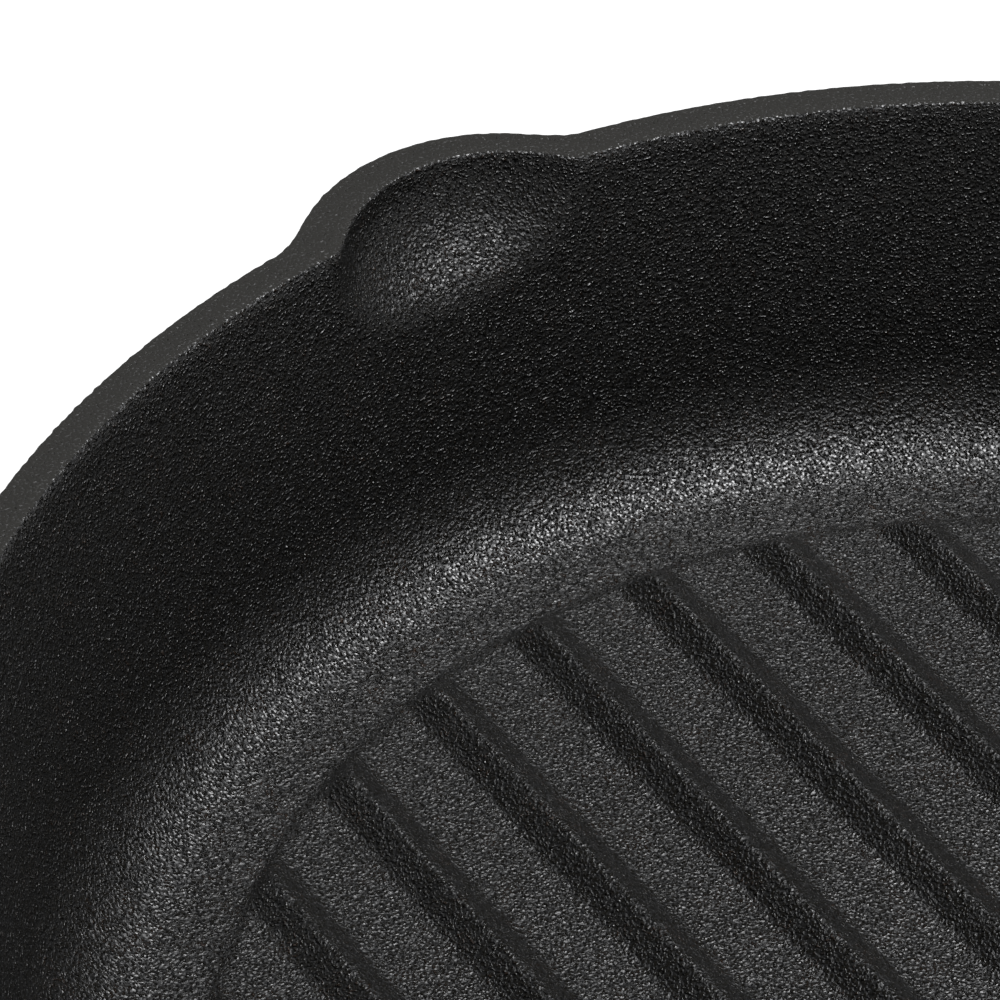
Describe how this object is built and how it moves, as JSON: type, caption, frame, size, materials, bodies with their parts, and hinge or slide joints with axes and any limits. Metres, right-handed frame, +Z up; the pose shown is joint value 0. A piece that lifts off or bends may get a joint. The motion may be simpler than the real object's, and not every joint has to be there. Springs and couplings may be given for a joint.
{
  "type": "grill pan",
  "caption": "Round ribbed cast iron grill pan with leaning walls, pour lips on both sides and an eight-sided wooden handle that ends in a swinging hanging ring.",
  "frame": {"origin": "centre of the base's underside, on the surface the pan stands on", "axes": "+Z up, the handle points towards -Y, the pour lips are on -X and +X, and the ribs run along X"},
  "size_m": [0.2748, 0.4877, 0.0737],
  "materials": {
    "cast_iron": "seasoned black, as cast, with a ground rim",
    "collar_steel": "brushed",
    "handle_wood": "oiled, with eight flats",
    "rod_steel": "plain zinc grey",
    "eye_steel": "tumbled"
  },
  "bodies": {
    "pan": {"pan": "cast_iron", "ferrule": "collar_steel", "grip": "handle_wood", "tie_rod": "rod_steel", "end_cap": "collar_steel", "spring_washer": "rod_steel", "eye_nut": "eye_steel"},
    "ring": {"hanging_ring": "eye_steel"}
  },
  "joints": [
    {"name": "ring_swing", "type": "hinge", "parent": "pan", "child": "ring", "pos_m": [0, -0.34955, 0.06288], "axis": [-1, 0, 0], "range_deg": [-50, 240]}
  ]
}
